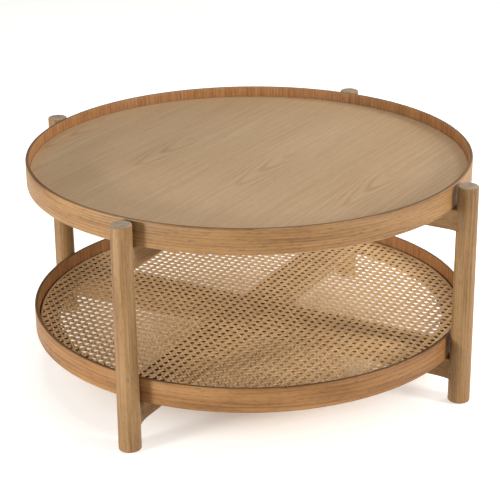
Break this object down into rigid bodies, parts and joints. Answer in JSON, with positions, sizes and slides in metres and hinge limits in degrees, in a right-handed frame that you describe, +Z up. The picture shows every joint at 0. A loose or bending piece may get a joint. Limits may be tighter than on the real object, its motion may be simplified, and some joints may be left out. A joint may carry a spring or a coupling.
{
  "type": "round two-tier coffee table",
  "caption": "Round coffee table with a recessed wood top tray and a cane-webbed shelf tray on crossed rails between turned legs.",
  "frame": {"origin": "on the floor, under the centre of the table", "axes": "+Z up; the legs stand on the diagonals of X and Y; rail a runs from -X-Y to +X+Y"},
  "size_m": [0.8, 0.8, 0.407],
  "materials": {
    "hoop": "satin clear lacquer on bent veneer, grain round the hoop",
    "veneer": "satin clear lacquer on flat-sawn veneer",
    "leg_wood": "satin clear lacquer, grain along the leg",
    "rail_wood": "satin clear lacquer, grain along the rail",
    "frame_wood": "satin clear lacquer, grain along the piece",
    "cane": "natural split cane, slightly glossy skin side up",
    "reed": "round reed, matt",
    "dowel": "raw fluted dowel",
    "steel": "zinc plated",
    "glide": "moulded nylon, dark brown"
  },
  "bodies": {
    "root": {"dowel_lower_a1_high": "dowel", "dowel_lower_a1_low": "dowel", "dowel_lower_a2_high": "dowel", "dowel_lower_a2_low": "dowel", "dowel_lower_b1_high": "dowel", "dowel_lower_b1_low": "dowel", "dowel_lower_b2_high": "dowel", "dowel_lower_b2_low": "dowel", "dowel_upper_a1_high": "dowel", "dowel_upper_a1_low": "dowel", "dowel_upper_a2_high": "dowel", "dowel_upper_a2_low": "dowel", "dowel_upper_b1_high": "dowel", "dowel_upper_b1_low": "dowel", "dowel_upper_b2_high": "dowel", "dowel_upper_b2_low": "dowel", "glide_back_left": "glide", "glide_back_right": "glide", "glide_front_left": "glide", "glide_front_right": "glide", "leg_back_left": "leg_wood", "leg_back_right": "leg_wood", "leg_front_left": "leg_wood", "leg_front_right": "leg_wood", "lower_rail_a": "rail_wood", "lower_rail_b": "rail_wood", "screw_lower_a1": "steel", "screw_lower_a2": "steel", "screw_lower_b1": "steel", "screw_lower_b2": "steel", "screw_upper_a1": "steel", "screw_upper_a2": "steel", "screw_upper_b1": "steel", "screw_upper_b2": "steel", "shelf_batten_a": "frame_wood", "shelf_batten_b": "frame_wood", "shelf_frame_arc_1": "frame_wood", "shelf_frame_arc_2": "frame_wood", "shelf_frame_arc_3": "frame_wood", "shelf_frame_arc_4": "frame_wood", "shelf_rim": "hoop", "shelf_webbing": "cane", "top_batten_a": "frame_wood", "top_batten_b": "frame_wood", "top_frame_arc_1": "frame_wood", "top_frame_arc_2": "frame_wood", "top_frame_arc_3": "frame_wood", "top_frame_arc_4": "frame_wood", "top_panel": "veneer", "top_rim": "hoop", "upper_rail_a": "rail_wood", "upper_rail_b": "rail_wood", "webbing_spline": "reed"}
  },
  "joints": []
}
